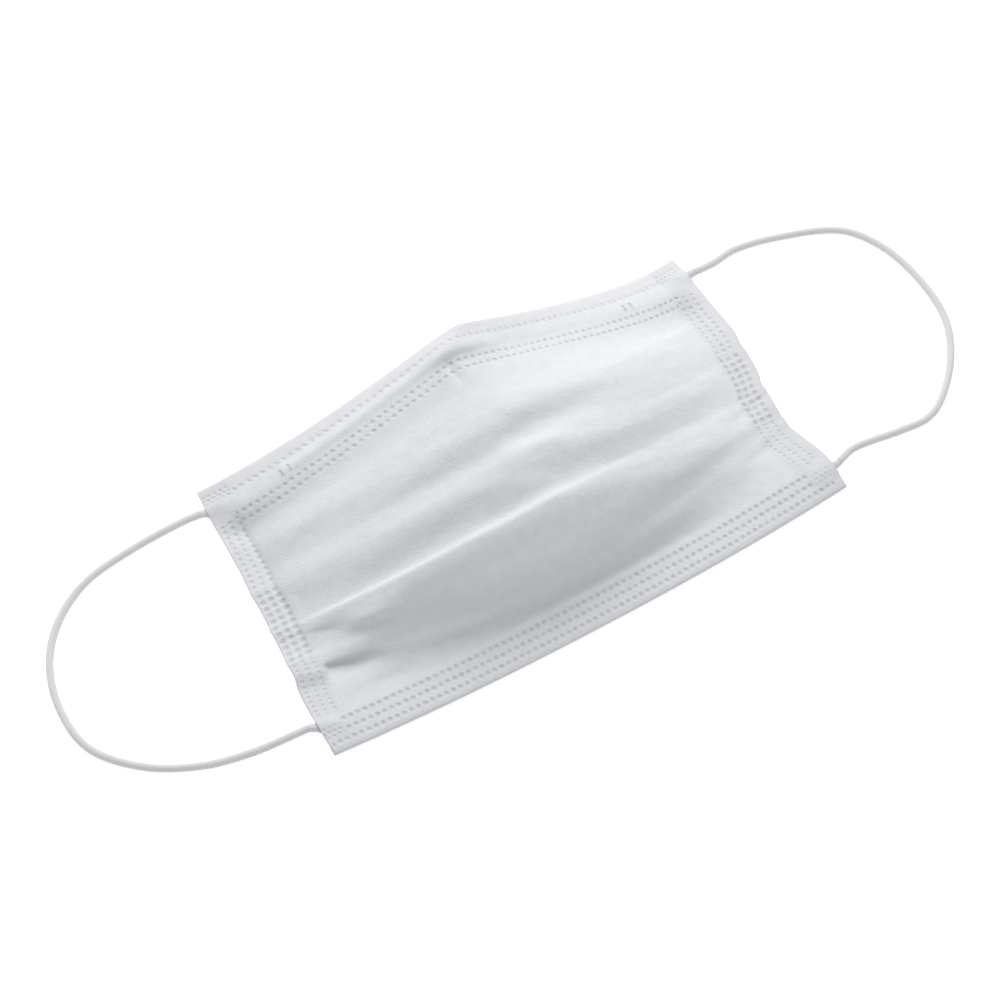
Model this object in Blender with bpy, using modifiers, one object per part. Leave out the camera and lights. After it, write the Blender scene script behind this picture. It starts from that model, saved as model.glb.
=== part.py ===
"""Surgical face mask, lying with its outer side up. Metres, +Z up.

+X runs from the left ear to the right ear, +Y from the chin edge to the nose edge. The origin is on the
surface that the mask lies on, under the middle of the panel. The panel is a pleated sheet, opened a little
in the middle, over two turned-over edge strips, the nose wire and the flattened ends of the ear loops.
"""
from collections import namedtuple
from math import cos, radians, sin

import bmesh
import bpy
import numpy as np
from mathutils import Vector

# Driving dimensions
MASK_WIDTH = 0.1745
SIDE_LENGTH = 0.095
BULGE = 0.0335
PANEL_WALL = 0.0010
PLY_STEP = 0.0006
PLEAT_TUCK = 0.0025
PLEAT_LIP = 0.0022
# The side that the folded edge's tuck keeps where the next layer starts
TUCK_KEPT = 0.3
GAP = 0.0003

STRIP_WALL = 0.0008
TOP_HEM_DEPTH = 0.0120
EDGE_INSET = 0.0010
BOTTOM_HEM_DEPTH = 0.0105
BAND_WIDTH = 0.0125

WIRE_LENGTH = 0.118
WIRE_WIDTH = 0.0030
WIRE_THICKNESS = 0.0008
WIRE_DROP = 0.0068
# How the strip under the wire rises back to the panel, beside the wire and past its ends
WIRE_POCKET_SLOPE = 0.0025
WIRE_POCKET_ENDS = (0.03, 0.10)

LOOP_DIAMETER = 0.0024
LOOP_SIDE_STEP = 0.0060
LOOP_END_THICKNESS = 0.0008
LOOP_END_WIDTH = 0.0040
LOOP_END_LENGTH = 0.0100
LOOP_END_REACH = 0.0024

# Mesh fineness
STATIONS = 40
ROWS_PER_SECTION = 2
STRIP_ROWS = 6

HALF_WIDTH = MASK_WIDTH / 2
UNDERSIDE = max(STRIP_WALL, LOOP_END_THICKNESS) + GAP
REST = UNDERSIDE + PANEL_WALL / 2
# The share of a half width inside which the panel rises from its flat side bands
BAND_SHARE = 0.95

# Sections of the panel, from the nose edge to the chin edge. mid_y: share of SIDE_LENGTH above the chin
# corners in the middle. peak_x: share of HALF_WIDTH where it is highest. rise: share of BULGE there.
# Side: where the section meets a side edge. x: share of HALF_WIDTH. y: share of SIDE_LENGTH above the chin
# corners. ply: how many PLY_STEPs of folded layers lie under the edge. bow: how late y leaves its middle
# value. dome: how late the height falls off, 1 is a straight tent.
Side = namedtuple("Side", "x y ply bow dome")
Section = namedtuple("Section", "name left mid_y peak_x rise right")
SECTIONS = (
    Section("nose_edge", Side(-0.937, 1.000, 0.0, 2.8, 1.28), 0.931, 0.045, 1.000,
            Side(0.981, 1.000, 0.0, 4.2, 0.96)),
    Section("wire_line", Side(-0.940, 0.937, 0.0, 2.6, 1.28), 0.888, 0.010, 0.955,
            Side(0.989, 0.938, 0.0, 3.8, 1.02)),
    Section("channel_foot", Side(-0.944, 0.873, 0.0, 2.4, 1.32), 0.842, -0.023, 0.870,
            Side(0.994, 0.875, 0.3, 3.0, 1.18)),
    Section("brow", Side(-0.947, 0.815, 0.5, 2.2, 1.45), 0.735, -0.010, 0.900,
            Side(0.997, 0.800, 0.8, 2.2, 1.40)),
    Section("ridge", Side(-0.950, 0.760, 1.5, 2.0, 1.60), 0.612, 0.000, 0.960,
            Side(1.000, 0.725, 2.2, 1.5, 1.60)),
    Section("dip", Side(-0.954, 0.700, 1.5, 2.0, 1.70), 0.545, 0.000, 0.905,
            Side(1.000, 0.665, 2.6, 1.6, 1.70)),
    Section("fold_a", Side(-0.963, 0.578, 2.0, 2.1, 1.80), 0.425, 0.000, 0.960,
            Side(0.995, 0.587, 2.6, 2.2, 1.80)),
    Section("fold_b", Side(-0.972, 0.435, 1.5, 2.1, 1.85), 0.265, 0.000, 0.900,
            Side(0.966, 0.415, 2.0, 1.8, 1.85)),
    Section("slope", Side(-0.977, 0.362, 1.0, 2.0, 1.90), 0.192, 0.000, 0.620,
            Side(0.960, 0.352, 1.0, 1.8, 1.90)),
    Section("fold_c", Side(-0.983, 0.298, 1.0, 2.2, 2.00), 0.142, 0.000, 0.330,
            Side(0.957, 0.290, 1.0, 1.8, 2.00)),
    Section("foot", Side(-0.993, 0.225, 0.0, 2.0, 2.40), 0.108, 0.000, 0.110,
            Side(0.975, 0.205, 0.4, 2.2, 2.40)),
    Section("hem_line", Side(-1.000, 0.121, 0.0, 2.2, 2.00), 0.088, 0.000, 0.000,
            Side(0.998, 0.121, 0.0, 2.2, 2.00)),
    Section("chin_edge", Side(-0.998, 0.000, 0.0, 2.2, 2.00), -0.034, 0.000, 0.000,
            Side(0.998, 0.000, 0.0, 2.2, 2.00)),
)
# Shares of a half width between which the folded layers build up towards the side edge
LAYERS_FROM = 0.30
LAYERS_TO = 0.95

# Pleats. drop: how far the sheet steps down behind the folded edge, as a share of BULGE, beside the bands and
# in the middle. opened: how far ahead of the edge the next layer starts in the middle, share of SIDE_LENGTH.
# reach: share of a half width out from the middle at which the tucked-under pocket ends.
Pleat = namedtuple("Pleat", "side_drop mid_drop opened left_reach right_reach")
PLEATS = {
    "fold_a": Pleat(0.075, 0.085, 0.045, 0.35, 0.50),
    "fold_b": Pleat(0.085, 0.110, 0.030, 0.30, 0.35),
    "fold_c": Pleat(0.070, 0.000, 0.012, 0.55, 0.60),
}
# Shares of a half width between which the pleats are welded flat, and over which a pocket closes
WELD_FROM = 0.86
WELD_TO = 0.97
POCKET_FADE = 0.25
# Shares of a pleat's drop at its folded edge and at the bottom of its pocket
NOSE_SHARE = 0.30
POCKET_SHARE = 0.62

# Ends of the ear loops. side: -1 left, 1 right. y: share of SIDE_LENGTH where it leaves the side edge.
# heading: degrees that the loop turns towards the nose as it leaves.
LoopEnd = namedtuple("LoopEnd", "name side y heading")
LOOP_ENDS = (
    LoopEnd("loop_end_left_top", -1, 0.925, 16.0),
    LoopEnd("loop_end_left_bottom", -1, 0.100, 24.0),
    LoopEnd("loop_end_right_top", 1, 0.925, 4.0),
    LoopEnd("loop_end_right_bottom", 1, 0.075, 12.0),
)

# Route of each ear loop between its two ends, from the nose side round to the chin side, in metres
LEFT_ROUTE = (
    (-0.0905, 0.0430), (-0.1085, 0.0420), (-0.1240, 0.0390), (-0.1360, 0.0315), (-0.1440, 0.0210),
    (-0.1480, 0.0065), (-0.1465, -0.0090), (-0.1360, -0.0220), (-0.1210, -0.0305), (-0.1065, -0.0340),
    (-0.0950, -0.0350),
)
RIGHT_ROUTE = (
    (0.0960, 0.0420), (0.1045, 0.0430), (0.1195, 0.0400), (0.1380, 0.0320), (0.1455, 0.0205),
    (0.1485, 0.0040), (0.1470, -0.0120), (0.1395, -0.0255), (0.1275, -0.0365), (0.1210, -0.0390),
    (0.1125, -0.0385), (0.0960, -0.0365),
)

# Middle of the panel's height range along Y, so that the origin is under the middle
MID_SHARE = (SECTIONS[0].left.y + SECTIONS[-1].mid_y) / 2

# Colour, roughness and metallic value of each kind of material
NONWOVEN = ((0.88, 0.89, 0.90), 0.85, 0.0)
ELASTIC = ((0.90, 0.90, 0.91), 0.75, 0.0)
WIRE_METAL = ((0.80, 0.80, 0.80), 0.45, 0.0)


def clear_scene():
    for item in list(bpy.data.objects):
        bpy.data.objects.remove(item, do_unlink=True)


def new_collection(name):
    collection = bpy.data.collections.new(name)
    bpy.context.scene.collection.children.link(collection)
    return collection


def new_material(name, look):
    colour, roughness, metallic = look
    material = bpy.data.materials.new(name)
    material.use_nodes = True
    shader = material.node_tree.nodes["Principled BSDF"]
    shader.inputs["Base Color"].default_value = (*colour, 1.0)
    shader.inputs["Roughness"].default_value = roughness
    shader.inputs["Metallic"].default_value = metallic
    return material


def smoothstep(low, high, value):
    share = min(max((value - low) / (high - low), 0.0), 1.0)
    return share * share * (3.0 - 2.0 * share)


def section_point(section, t):
    """Point of a section at t, -1 at the left edge, 0 at its peak and 1 at the right edge."""
    out = abs(t)
    side = section.left if t < 0 else section.right
    x = HALF_WIDTH * (section.peak_x + (side.x - section.peak_x) * out)
    y = section.mid_y + (side.y - section.mid_y) * out ** side.bow
    risen = 1.0 - min(out / BAND_SHARE, 1.0) ** side.dome
    layers = PLY_STEP * side.ply * smoothstep(LAYERS_FROM, LAYERS_TO, out)
    z = REST + layers + section.rise * BULGE * risen
    return np.array((x, SIDE_LENGTH * (y - MID_SHARE), z))


def pleat_points(section, pleat, t):
    """The four points where the sheet rounds a folded edge and starts again beneath it."""
    out = abs(t)
    reach = pleat.left_reach if t < 0 else pleat.right_reach
    free = 1.0 - smoothstep(WELD_FROM, WELD_TO, out)
    tucked = free * smoothstep(reach, reach + POCKET_FADE, out)
    share = pleat.mid_drop + (pleat.side_drop - pleat.mid_drop) * tucked
    drop = PLY_STEP * (1.0 - free) + share * BULGE * free
    ahead = PLY_STEP + (pleat.opened * SIDE_LENGTH - PLY_STEP) * free * (1.0 - tucked)
    tuck = PLEAT_TUCK * tucked
    edge = section_point(section, t)
    lip = edge + np.array((0.0, PLEAT_LIP, 0.0))
    nose = edge - np.array((0.0, 0.0, NOSE_SHARE * drop))
    under = edge + np.array((0.0, tuck - 0.5 * ahead * (1.0 - tucked), -POCKET_SHARE * drop))
    lower = edge + np.array((0.0, TUCK_KEPT * tuck - ahead * (1.0 - tucked), -drop))
    return [lip, nose, under, lower]


def profile(t):
    """The panel's middle surface at t, as a row of points from the nose edge to the chin edge."""
    points = []
    for section in SECTIONS:
        if section.name in PLEATS:
            points += pleat_points(section, PLEATS[section.name], t)
        else:
            points.append(section_point(section, t))
    return np.array(points)


def smooth_curve(points, places):
    """Points of a centripetal Catmull-Rom curve through the given points, at places counted in points."""
    steps = np.maximum(np.linalg.norm(np.diff(points, axis=0), axis=1), 1e-6) ** 0.5
    knots = np.concatenate(((0.0,), np.cumsum(steps)))
    slopes = np.diff(points, axis=0) / steps[:, None]
    tangents = np.empty_like(points)
    tangents[0] = slopes[0]
    tangents[-1] = slopes[-1]
    before, after = steps[:-1, None], steps[1:, None]
    tangents[1:-1] = (slopes[:-1] * after + slopes[1:] * before) / (before + after)
    first = np.clip(np.floor(places).astype(int), 0, len(points) - 2)
    share = (places - first)[:, None]
    span = (knots[first + 1] - knots[first])[:, None]
    start, end = points[first], points[first + 1]
    a = (2 * share ** 3 - 3 * share ** 2 + 1) * start
    b = (share ** 3 - 2 * share ** 2 + share) * span * tangents[first]
    c = (3 * share ** 2 - 2 * share ** 3) * end
    d = (share ** 3 - share ** 2) * span * tangents[first + 1]
    return a + b + c + d


def surface_row(t, places):
    """Points of the panel's middle surface at t. Nowhere does the sheet sink below its flat edges."""
    points = smooth_curve(profile(t), places)
    points[:, 2] = np.maximum(points[:, 2], REST)
    return points


def surface_normals(t, places):
    """Unit normals of the panel's middle surface, pointing to the outer side."""
    step = 0.01
    low, high = max(t - step, -1.0), min(t + step, 1.0)
    across = surface_row(high, places) - surface_row(low, places)
    along = surface_row(t, places + step) - surface_row(t, places - step)
    normals = np.cross(along, across)
    return normals / np.linalg.norm(normals, axis=1)[:, None]


def station_values(first, last, count):
    return np.linspace(first, last, count + 1)


def sheet_object(name, rows, wall, look, collection):
    """A closed cloth wall round an open grid whose rows of points are given, one row for each station."""
    stations, places = len(rows), len(rows[0])
    mesh = bpy.data.meshes.new(name)
    grid = bmesh.new()
    bmesh.ops.create_grid(grid, x_segments=stations - 1, y_segments=places - 1, size=1.0)
    for vertex in grid.verts:
        station = round((vertex.co.x + 1.0) / 2.0 * (stations - 1))
        place = round((1.0 - vertex.co.y) / 2.0 * (places - 1))
        vertex.co = Vector(rows[station][place])
    grid.to_mesh(mesh)
    grid.free()
    mesh.shade_smooth()
    item = bpy.data.objects.new(name, mesh)
    collection.objects.link(item)
    item.data.materials.append(new_material(name, look))
    solid = item.modifiers.new("wall", "SOLIDIFY")
    solid.thickness = wall
    solid.offset = 0.0
    return item


def place_below_edge(t, depth):
    """How far along the profile, counted in points, a depth below the nose edge is reached."""
    places = np.linspace(0.0, 3.0, 61)
    points = surface_row(t, places)
    lengths = np.concatenate(((0.0,), np.cumsum(np.linalg.norm(np.diff(points, axis=0), axis=1))))
    return float(np.interp(depth, lengths, places))


def make_panel(collection):
    count = len(profile(0.0))
    places = np.linspace(0.0, count - 1, (count - 1) * ROWS_PER_SECTION + 1)
    rows = [surface_row(t, places) for t in station_values(-1.0, 1.0, STATIONS)]
    return sheet_object("panel", rows, PANEL_WALL, NONWOVEN, collection)


def lowered_rows(first, last, count, top, bottom, row_count, offset):
    """Rows of points under the panel, between two depths below the nose edge, lowered by offset(t, depth)."""
    rows = []
    for t in station_values(first, last, count):
        depths = np.linspace(top, bottom, row_count + 1)
        places = np.array([place_below_edge(t, depth) for depth in depths])
        lift = np.array([offset(t, depth) for depth in depths])
        rows.append(surface_row(t, places) - surface_normals(t, places) * lift[:, None])
    return rows


def wire_span():
    """The t values of the wire's two ends."""
    half_share = WIRE_LENGTH / 2 / HALF_WIDTH
    return -half_share, half_share


def top_hem_offset(t, depth):
    """Depth of the strip under the panel: close to it at its two welded rows, lower round the wire."""
    closed = PANEL_WALL / 2 + GAP + STRIP_WALL / 2
    pocket = WIRE_THICKNESS + GAP
    left, right = wire_span()
    near, far = WIRE_POCKET_ENDS
    along = smoothstep(left - far, left - near, t) * (1.0 - smoothstep(right + near, right + far, t))
    edge = WIRE_WIDTH / 2 + GAP
    aside = abs(depth - WIRE_DROP)
    across = 1.0 - smoothstep(edge, edge + WIRE_POCKET_SLOPE, aside)
    return closed + pocket * along * across


def make_top_hem(collection):
    inner = 1.0 - BAND_WIDTH / HALF_WIDTH
    rows = lowered_rows(
        -inner, inner, STATIONS - 4, EDGE_INSET, TOP_HEM_DEPTH, STRIP_ROWS + 2, top_hem_offset)
    return sheet_object("top_hem", rows, STRIP_WALL, NONWOVEN, collection)


def wire_offset(t, depth):
    return PANEL_WALL / 2 + GAP + WIRE_THICKNESS / 2


def make_nose_wire(collection):
    left, right = wire_span()
    top, bottom = WIRE_DROP - WIRE_WIDTH / 2, WIRE_DROP + WIRE_WIDTH / 2
    rows = lowered_rows(left, right, STATIONS - 12, top, bottom, 2, wire_offset)
    return sheet_object("nose_wire", rows, WIRE_THICKNESS, WIRE_METAL, collection)


def make_bottom_hem(collection):
    """The flat strip that the chin edge rests on."""
    inner = 1.0 - BAND_WIDTH / HALF_WIDTH
    chin = SECTIONS[-1]
    rows = []
    for t in station_values(-inner, inner, STATIONS - 12):
        edge = section_point(chin, t)
        edge[2] = STRIP_WALL / 2
        shares = np.linspace(1.0, 0.0, STRIP_ROWS // 2 + 1)
        rows.append([edge + np.array((0.0, BOTTOM_HEM_DEPTH * share, 0.0)) for share in shares])
    return sheet_object("bottom_hem", rows, STRIP_WALL, NONWOVEN, collection)


def side_edge_x(side, share):
    """X of the panel's side edge at a share of SIDE_LENGTH."""
    sides = [section.left if side < 0 else section.right for section in reversed(SECTIONS)]
    return HALF_WIDTH * float(np.interp(share, [edge.y for edge in sides], [edge.x for edge in sides]))


def loop_end_frame(end):
    """Where a loop end's outer tip lies, and the direction that the loop leaves it in."""
    edge = Vector((side_edge_x(end.side, end.y), SIDE_LENGTH * (end.y - MID_SHARE), 0.0))
    turn = radians(end.heading)
    outward = Vector((end.side * cos(turn), sin(turn), 0.0))
    return edge + outward * LOOP_END_REACH, outward


def make_loop_end(end, collection):
    tip, outward = loop_end_frame(end)
    mesh = bpy.data.meshes.new(end.name)
    block = bmesh.new()
    bmesh.ops.create_cube(block, size=1.0)
    bmesh.ops.scale(block, vec=(LOOP_END_LENGTH, LOOP_END_WIDTH, LOOP_END_THICKNESS), verts=block.verts)
    upright = [edge for edge in block.edges if abs(edge.verts[0].co.z - edge.verts[1].co.z) > GAP]
    bmesh.ops.bevel(
        block, geom=upright, affect="EDGES", offset=LOOP_END_WIDTH / 5, segments=2, profile=0.5)
    block.to_mesh(mesh)
    block.free()
    item = bpy.data.objects.new(end.name, mesh)
    collection.objects.link(item)
    item.data.materials.append(new_material(end.name, ELASTIC))
    item.location = tip - outward * (LOOP_END_LENGTH / 2) + Vector((0.0, 0.0, LOOP_END_THICKNESS / 2))
    item.rotation_euler = (0.0, 0.0, outward.to_2d().angle_signed(Vector((1.0, 0.0))))
    return item


def loop_route(top, bottom, middle):
    """Route of a loop: it leaves each end along that end's heading."""
    height = LOOP_DIAMETER / 2
    points = []
    for end in (top, bottom):
        tip, outward = loop_end_frame(end)
        start = tip + outward * GAP
        points.append(start + Vector((0.0, 0.0, height)))
    route = [points[0]] + [Vector((x, y, height)) for x, y in middle] + [points[1]]
    return np.array([tuple(point) for point in route])


def make_ear_loop(name, top, bottom, middle, collection):
    route = loop_route(top, bottom, middle)
    fine = smooth_curve(route, np.linspace(0.0, len(route) - 1, 400))
    lengths = np.concatenate(((0.0,), np.cumsum(np.linalg.norm(np.diff(fine, axis=0), axis=1))))
    count = round(lengths[-1] / LOOP_SIDE_STEP)
    even = np.linspace(0.0, lengths[-1], count + 1)
    points = np.array([np.interp(even, lengths, fine[:, axis]) for axis in range(3)]).T
    curve = bpy.data.curves.new(name, "CURVE")
    curve.dimensions = "3D"
    curve.bevel_depth = LOOP_DIAMETER / 2
    curve.bevel_resolution = 2
    curve.use_fill_caps = True
    spline = curve.splines.new("POLY")
    spline.points.add(len(points) - 1)
    for target, point in zip(spline.points, points):
        target.co = (*point, 1.0)
    item = bpy.data.objects.new(name, curve)
    collection.objects.link(item)
    item.data.materials.append(new_material(name, ELASTIC))
    return item


def main():
    clear_scene()
    collection = new_collection("surgical_face_mask")
    make_panel(collection)
    make_top_hem(collection)
    make_nose_wire(collection)
    make_bottom_hem(collection)
    for end in LOOP_ENDS:
        make_loop_end(end, collection)
    ends = {end.name: end for end in LOOP_ENDS}
    make_ear_loop("ear_loop_left", ends["loop_end_left_top"], ends["loop_end_left_bottom"],
                  LEFT_ROUTE, collection)
    make_ear_loop("ear_loop_right", ends["loop_end_right_top"], ends["loop_end_right_bottom"],
                  RIGHT_ROUTE, collection)


main()
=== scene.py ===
# %% [markdown]
# # A pleated face mask lying with its outer side up
# The object is one sheet of soft white non-woven cloth. It is folded into three pleats, welded flat along
# its two sides, turned under along the nose and chin edges, and carried by two round elastic loops. A flat
# wire lies in the channel along the nose edge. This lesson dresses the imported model, piece by piece.
# Everything is in metres, with +X from the left ear to the right ear, +Y to the nose edge and +Z up.

# %% Load the frame
from collections import namedtuple
from math import cos, radians, sin, tau

import bmesh
import bpy
import numpy as np
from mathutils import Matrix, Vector


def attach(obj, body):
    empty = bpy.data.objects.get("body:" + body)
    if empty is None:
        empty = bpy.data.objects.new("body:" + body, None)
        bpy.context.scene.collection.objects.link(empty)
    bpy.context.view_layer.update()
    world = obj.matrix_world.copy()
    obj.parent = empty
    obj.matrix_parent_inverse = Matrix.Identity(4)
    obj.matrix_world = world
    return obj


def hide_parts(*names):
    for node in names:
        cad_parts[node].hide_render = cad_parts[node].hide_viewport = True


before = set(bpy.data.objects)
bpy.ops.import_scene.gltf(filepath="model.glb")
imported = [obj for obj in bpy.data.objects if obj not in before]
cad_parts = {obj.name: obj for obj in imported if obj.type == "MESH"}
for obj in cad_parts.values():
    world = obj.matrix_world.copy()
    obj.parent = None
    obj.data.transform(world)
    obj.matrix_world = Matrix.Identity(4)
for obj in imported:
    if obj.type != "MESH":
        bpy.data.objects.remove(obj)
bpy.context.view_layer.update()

print("packed nodes:", sorted(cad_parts))

# %% [markdown]
# ## Camera
# The camera comes first, because every later choice is judged through it. It stands in front of the chin
# edge and to the left, looks down at 60 degrees, and is far enough away for a long lens. A long lens keeps
# the two side edges nearly parallel, as a product photographer would.

# %% Camera
CAMERA_PLACE = (-0.2130, -0.3538, 0.7151)
CAMERA_TARGET = (-0.0044, 0.0024, 0.0)
CAMERA_LENS = 99.57
CAMERA_SENSOR = 36.0


def in_scene(name, data):
    """An object in the scene, at the origin, for a mesh, a lamp or a camera."""
    item = bpy.data.objects.new(name, data)
    bpy.context.scene.collection.objects.link(item)
    return item


def turn_towards(item, place, target):
    """Puts a camera or lamp at a place and points it at a target."""
    item.location = place
    item.rotation_mode = "QUATERNION"
    item.rotation_quaternion = (Vector(target) - Vector(place)).to_track_quat("-Z", "Y")


camera_data = bpy.data.cameras.new("camera")
camera_data.lens = CAMERA_LENS
camera_data.sensor_width = CAMERA_SENSOR
camera_data.clip_start = 0.01
camera_data.clip_end = 20.0
camera = in_scene("camera", camera_data)
turn_towards(camera, CAMERA_PLACE, CAMERA_TARGET)
bpy.context.scene.camera = camera
print("camera distance:", round((Vector(CAMERA_PLACE) - Vector(CAMERA_TARGET)).length, 4))

# %% [markdown]
# ## Shader maths written as plain expressions
# A procedural material is a graph of small nodes. Writing the graph by hand hides the formula, so one
# small class wraps a node's output and lets + - * / and ** add the Math nodes. The class Finish is one
# material: its method add makes any other node from its type, its settings and its inputs.

# %% Signals and finishes
# Sockets of the Mix node that take and give colours
MIX_FIRST, MIX_SECOND, MIX_RESULT = 6, 7, 2


class Signal:
    """One output of a shader node."""

    def __init__(self, finish, socket):
        self.finish = finish
        self.socket = socket

    def math(self, operation, *others):
        values = dict(enumerate((self, *others)))
        return self.finish.add("ShaderNodeMath", {"operation": operation}, values)

    def __add__(self, other):
        return self.math("ADD", other)

    def __mul__(self, other):
        return self.math("MULTIPLY", other)

    def __sub__(self, other):
        return self.math("SUBTRACT", other)

    def __rsub__(self, other):
        return self.finish.add("ShaderNodeMath", {"operation": "SUBTRACT"}, {0: other, 1: self})

    def __truediv__(self, other):
        return self.math("DIVIDE", other)

    def __pow__(self, other):
        return self.math("POWER", other)

    def fract(self):
        return self.math("FRACT")

    def floor(self):
        return self.math("FLOOR")

    def size(self):
        return self.math("ABSOLUTE")

    def above(self, low, high):
        """0 below low, 1 above high, and a smooth step between them."""
        values = dict(enumerate((self, low, high, 0.0, 1.0)))
        return self.finish.add("ShaderNodeMapRange", {"interpolation_type": "SMOOTHSTEP"}, values)

    def within(self, low, high, soft):
        """1 between low and high, fading to 0 over a soft margin outside them."""
        return self.above(low - soft, low) * (1.0 - self.above(high, high + soft))


class Finish:
    """One material, whose nodes are made by add()."""

    def __init__(self, name, **constants):
        self.material = bpy.data.materials.new(name)
        self.material.use_nodes = True
        self.tree = self.material.node_tree
        self.shader = self.tree.nodes["Principled BSDF"]
        for socket, value in constants.items():
            self.shader.inputs[socket.replace("_", " ")].default_value = value

    def add(self, kind, settings=None, values=None, output=0):
        """One output of a new node, or several. Its values are numbers or signals for its sockets."""
        node = self.tree.nodes.new(kind)
        for name, value in (settings or {}).items():
            setattr(node, name, value)
        for key, value in (values or {}).items():
            self.connect(value, node.inputs[key])
        if isinstance(output, tuple):
            return [Signal(self, node.outputs[key]) for key in output]
        return Signal(self, node.outputs[output])

    def connect(self, value, socket):
        if isinstance(value, Signal):
            self.tree.links.new(value.socket, socket)
        elif socket.type == "RGBA" and len(value) == 3:
            socket.default_value = (*value, 1.0)
        else:
            socket.default_value = value

    def feed(self, name, signal):
        self.connect(signal, self.shader.inputs[name])

    def flat_map(self, name):
        """The two directions of one of the piece's own UV maps, in metres."""
        spot = self.add("ShaderNodeUVMap", {"uv_map": name})
        return self.add("ShaderNodeSeparateXYZ", None, {0: spot}, (0, 1))

    def joined(self, x, y, z=0.0):
        return self.add("ShaderNodeCombineXYZ", None, {0: x, 1: y, 2: z})

    def noise(self, where, size, detail=2.0, roughness=0.5, distortion=0.0):
        """Soft noise from 0 to 1 whose lumps are about size metres."""
        values = {"Vector": where, "Scale": 1.0 / size, "Detail": detail, "Roughness": roughness}
        values["Distortion"] = distortion
        return self.add("ShaderNodeTexNoise", None, values)

    def place(self):
        """Where a point is on its own piece, in metres."""
        return self.add("ShaderNodeTexCoord", output="Object")

    def mixed(self, share, first, second):
        """The first colour where share is 0 and the second where it is 1."""
        values = {0: share, MIX_FIRST: first, MIX_SECOND: second}
        return self.add("ShaderNodeMix", {"data_type": "RGBA"}, values, MIX_RESULT)

    def bumped(self, height):
        """Feeds the shader's normal from a height in metres."""
        values = {"Strength": 1.0, "Distance": 1.0, "Height": height}
        self.feed("Normal", self.add("ShaderNodeBump", None, values))


print("shader helpers ready")

# %% [markdown]
# ## Shapes made from a grid
# Cloth and cord are both surfaces with two natural directions: along and across. A plain grid made by
# bmesh already has them, so each soft piece here starts as such a grid, and a table of places moves its
# points. The same two directions become UV maps in metres, which the patterns of the cloth follow.

# %% Grid helper
def grid_mesh(name, places, maps):
    """A mesh of a grid whose points are moved to places[station, row], with UV maps in metres."""
    stations, rows = places.shape[:2]
    grid = bmesh.new()
    bmesh.ops.create_grid(grid, x_segments=stations - 1, y_segments=rows - 1, size=1.0)
    spots = []
    for vertex in grid.verts:
        station = round((vertex.co.x + 1.0) / 2.0 * (stations - 1))
        row = round((1.0 - vertex.co.y) / 2.0 * (rows - 1))
        spots.append((station, row))
        vertex.co = places[station, row]
    mesh = bpy.data.meshes.new(name)
    grid.to_mesh(mesh)
    grid.free()
    corners = np.empty(len(mesh.loops), dtype=np.int32)
    mesh.loops.foreach_get("vertex_index", corners)
    station, row = np.array(spots)[corners].T
    for map_name, table in maps.items():
        layer = mesh.uv_layers.new(name=map_name)
        layer.uv.foreach_set("vector", table[station, row].astype(np.float32).ravel())
    mesh.shade_smooth()
    return mesh


def new_piece(name, mesh, finish):
    """An object at the origin with one finish, riding on the frame's only body."""
    piece = in_scene(name, mesh)
    mesh.materials.append(finish.material)
    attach(piece, "root")
    return piece


def smoothstep(low, high, value):
    """0 below low, 1 above high, and a smooth step between them."""
    share = np.clip((value - low) / (high - low), 0.0, 1.0)
    return share * share * (3.0 - 2.0 * share)


def plateau(rise, fall, value):
    """A smooth step up over the range rise, and down again over the range fall."""
    return smoothstep(*rise, value) * (1.0 - smoothstep(*fall, value))


def blend(first, second, share):
    return first + (second - first) * share


def smooth_curve(points, places):
    """Points of a centripetal Catmull-Rom curve through the given points, at places counted in points."""
    steps = np.maximum(np.linalg.norm(np.diff(points, axis=0), axis=1), 1e-6) ** 0.5
    slopes = np.diff(points, axis=0) / steps[:, None]
    tangents = np.empty_like(points)
    tangents[0] = slopes[0]
    tangents[-1] = slopes[-1]
    before, after = steps[:-1, None], steps[1:, None]
    tangents[1:-1] = (slopes[:-1] * after + slopes[1:] * before) / (before + after)
    first = np.clip(np.floor(places).astype(int), 0, len(points) - 2)
    share = (places - first)[:, None]
    span = steps[first][:, None]
    a = (2 * share ** 3 - 3 * share ** 2 + 1) * points[first]
    b = (share ** 3 - 2 * share ** 2 + share) * span * tangents[first]
    c = (3 * share ** 2 - 2 * share ** 3) * points[first + 1]
    d = (share ** 3 - share ** 2) * span * tangents[first + 1]
    return a + b + c + d


def run_lengths(points):
    """Distance along a line of points, from its first point."""
    steps = np.linalg.norm(np.diff(points, axis=0), axis=1)
    return np.concatenate(((0.0,), np.cumsum(steps)))


print("grid helpers ready")

# %% [markdown]
# ## Ear loops
# Each loop is a round knitted elastic, 2.4 mm thick and about 165 mm long, with both ends welded under the
# panel's corners. It lies on the table in one loose curve. A bevelled curve would give a plain pipe, so the
# loop is a grid wrapped round the route instead: that gives it a UV map along and around for its knit, and
# lets it thicken a little where the heat of the weld has drawn it together.

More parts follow.
